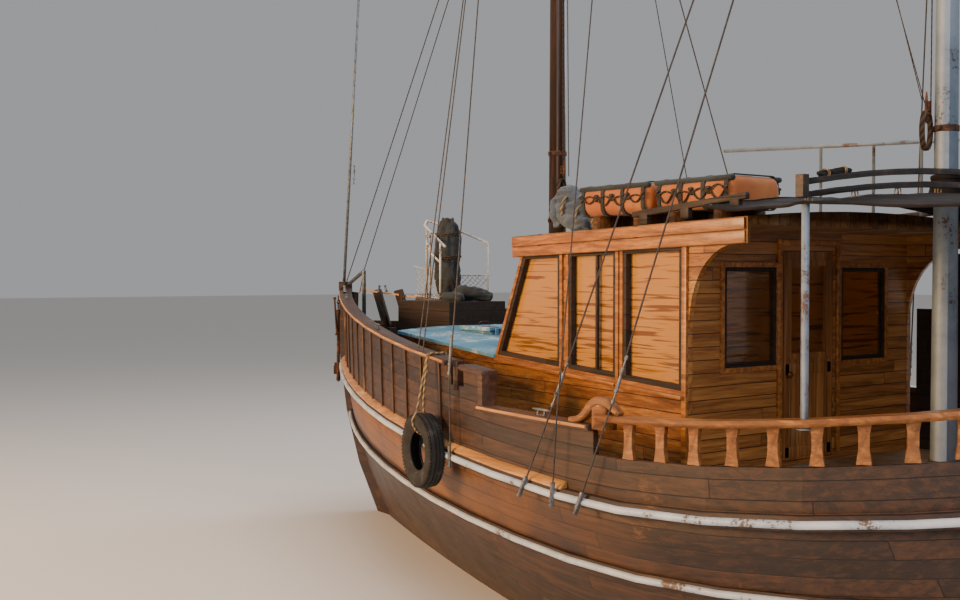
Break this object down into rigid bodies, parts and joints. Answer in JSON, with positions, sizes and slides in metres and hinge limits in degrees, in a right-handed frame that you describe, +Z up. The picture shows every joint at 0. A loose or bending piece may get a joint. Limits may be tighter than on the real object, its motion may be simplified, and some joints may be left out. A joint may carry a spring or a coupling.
{
  "type": "wooden motor sailer",
  "caption": "Wooden motor sailer afloat: planked hull with bulwarks and rub rails, glazed wheelhouse, cabin trunk, aft canopy, masts with main stays, helm, rudder and propeller.",
  "frame": {"origin": "on the waterline plane, on the centreline, a little aft of the wheelhouse's front", "axes": "+X towards the bow, +Y to port, +Z up; z = 0 is the water's surface"},
  "size_m": [11.7, 4.7154, 12.32],
  "materials": {
    "awning": "dark tarpaulin",
    "blue": "worn blue paint on boards",
    "bronze": "dull cast bronze",
    "canvas": "weathered canvas",
    "dark": "dark stained wood",
    "dark_pipe": "dark worn paint",
    "float": "faded orange cover",
    "glass": "clear, slightly wavy, warm tinted",
    "honey": "worn oiled wood",
    "pipe": "worn pale paint on tube",
    "planks": "worn oiled planks",
    "rail_wood": "worn pale blue-white paint on wood",
    "rubber": "matt, worn",
    "spar": "dark varnished spar",
    "steel": "dull galvanised wire and tube",
    "tar": "dark tarred and varnished planks, worn"
  },
  "bodies": {
    "boat": {"bow_bundle": "canvas", "bow_horn": "steel", "bow_rail": "pipe", "bow_staff": "steel", "bulwark_aft": "tar", "bulwark_port": "tar", "bulwark_starboard": "tar", "canopy_arch": "dark_pipe", "canopy_post_aft_port": "pipe", "canopy_post_aft_starboard": "pipe", "canopy_post_fore_port": "pipe", "canopy_post_fore_starboard": "pipe", "canopy_top": "awning", "cap_rail_fore_port": "honey", "cap_rail_fore_starboard": "honey", "cap_rail_waist_port": "honey", "cap_rail_waist_starboard": "honey", "deck": "honey", "float_aft": "float", "float_fore": "float", "fore_shroud_port": "steel", "fore_shroud_starboard": "steel", "foredeck_locker": "dark", "foremast": "spar", "forestay": "steel", "glass_front": "glass", "glass_port": "glass", "glass_starboard": "glass", "helm_console": "honey", "hull": "tar", "keel": "tar", "main_shroud_aft_port": "steel", "main_shroud_aft_starboard": "steel", "main_shroud_fore_port": "steel", "main_shroud_fore_starboard": "steel", "mainmast": "rail_wood", "propeller_shaft": "bronze", "rail_aft_port": "honey", "rail_aft_starboard": "honey", "roof_guard_rail": "pipe", "rub_rail_lower_port": "rail_wood", "rub_rail_lower_starboard": "rail_wood", "rub_rail_upper_port": "rail_wood", "rub_rail_upper_starboard": "rail_wood", "sail_bundle": "canvas", "side_screen": "dark", "trunk_cabin": "planks", "trunk_top": "blue", "tyre_fender": "rubber", "wheelhouse_back": "planks", "wheelhouse_front": "planks", "wheelhouse_roof": "planks", "wheelhouse_side_port": "planks", "wheelhouse_side_starboard": "planks"},
    "hatch": {"trunk_hatch": "blue"},
    "door": {"wheelhouse_door": "honey"},
    "helm": {"helm_wheel": "honey"},
    "rudder_blade": {"rudder": "dark"},
    "screw": {"propeller": "bronze"}
  },
  "joints": [
    {"name": "trunk_hatch", "type": "hinge", "parent": "boat", "child": "hatch", "pos_m": [2.128, 0, 2.58], "axis": [0, -1, 0], "range_deg": [0, 110]},
    {"name": "wheelhouse_door", "type": "hinge", "parent": "boat", "child": "door", "pos_m": [-2.022, -0.33, 2.5], "axis": [0, 0, 1], "range_deg": [0, 100]},
    {"name": "helm_wheel", "type": "hinge", "parent": "boat", "child": "helm", "pos_m": [0.09, 0, 2.56], "axis": [1, 0, 0], "range_deg": [-350, 350]},
    {"name": "rudder", "type": "hinge", "parent": "boat", "child": "rudder_blade", "pos_m": [-4.4, 0, -0.6], "axis": [0, 0, 1], "range_deg": [-35, 35]},
    {"name": "propeller", "type": "hinge", "parent": "boat", "child": "screw", "pos_m": [-3.9, 0, -0.76], "axis": [1, 0, 0], "continuous": true}
  ],
  "couplings": [
    {"joint": "rudder", "follows": "helm_wheel", "ratio": 0.1}
  ]
}
